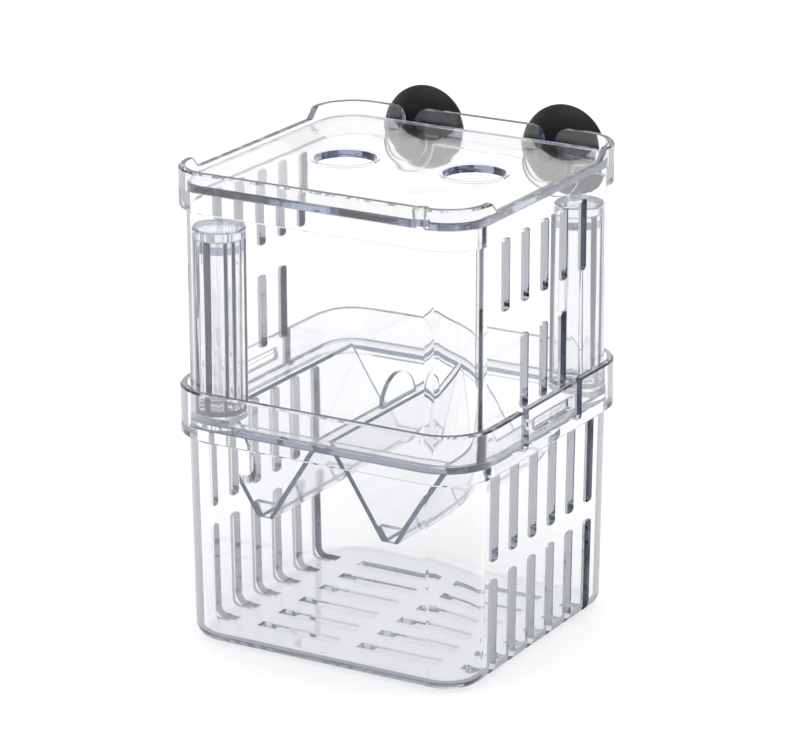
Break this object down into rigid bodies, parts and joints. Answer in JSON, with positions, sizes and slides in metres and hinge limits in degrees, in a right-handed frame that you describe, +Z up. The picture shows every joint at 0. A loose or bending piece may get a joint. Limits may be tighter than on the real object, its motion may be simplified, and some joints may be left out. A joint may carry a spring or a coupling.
{
  "type": "fish breeding box",
  "caption": "Clear two-storey hang-on breeding box with slotted side walls, a holed lid, a W-shaped fry tray, corner float tubes and suction cups behind the rim.",
  "frame": {"origin": "middle of the lower box's underside", "axes": "+Z up; +Y towards the back wall with the suction cups; +X to the right seen from the front"},
  "size_m": [0.0784, 0.0824, 0.1134],
  "materials": {
    "clear_plastic": "polished clear",
    "black_rubber": "matt"
  },
  "bodies": {
    "lower_box": {"lower_box": "clear_plastic"},
    "fry_tray": {"fry_tray": "clear_plastic"},
    "upper_box": {"upper_box": "clear_plastic", "float_tube_front": "clear_plastic", "float_tube_back": "clear_plastic", "float_cap_front": "clear_plastic", "float_cap_back": "clear_plastic"},
    "lid": {"lid": "clear_plastic"},
    "suction_cup_left": {"suction_cup_left": "black_rubber"},
    "suction_cup_right": {"suction_cup_right": "black_rubber"}
  },
  "joints": [
    {"name": "tray_lift", "type": "slide", "parent": "lower_box", "child": "fry_tray", "axis": [0, 0, 1], "range_m": [0, 0.035]},
    {"name": "upper_box_lift", "type": "slide", "parent": "fry_tray", "child": "upper_box", "axis": [0, 0, 1], "range_m": [0, 0.015]},
    {"name": "lid_lift", "type": "slide", "parent": "upper_box", "child": "lid", "axis": [0, 0, 1], "range_m": [0, 0.01]},
    {"name": "cup_left_spin", "type": "hinge", "parent": "upper_box", "child": "suction_cup_left", "pos_m": [-0.0182, 0.038, 0.103], "axis": [0, 1, 0], "continuous": true},
    {"name": "cup_right_spin", "type": "hinge", "parent": "upper_box", "child": "suction_cup_right", "pos_m": [0.0182, 0.038, 0.103], "axis": [0, 1, 0], "continuous": true}
  ]
}
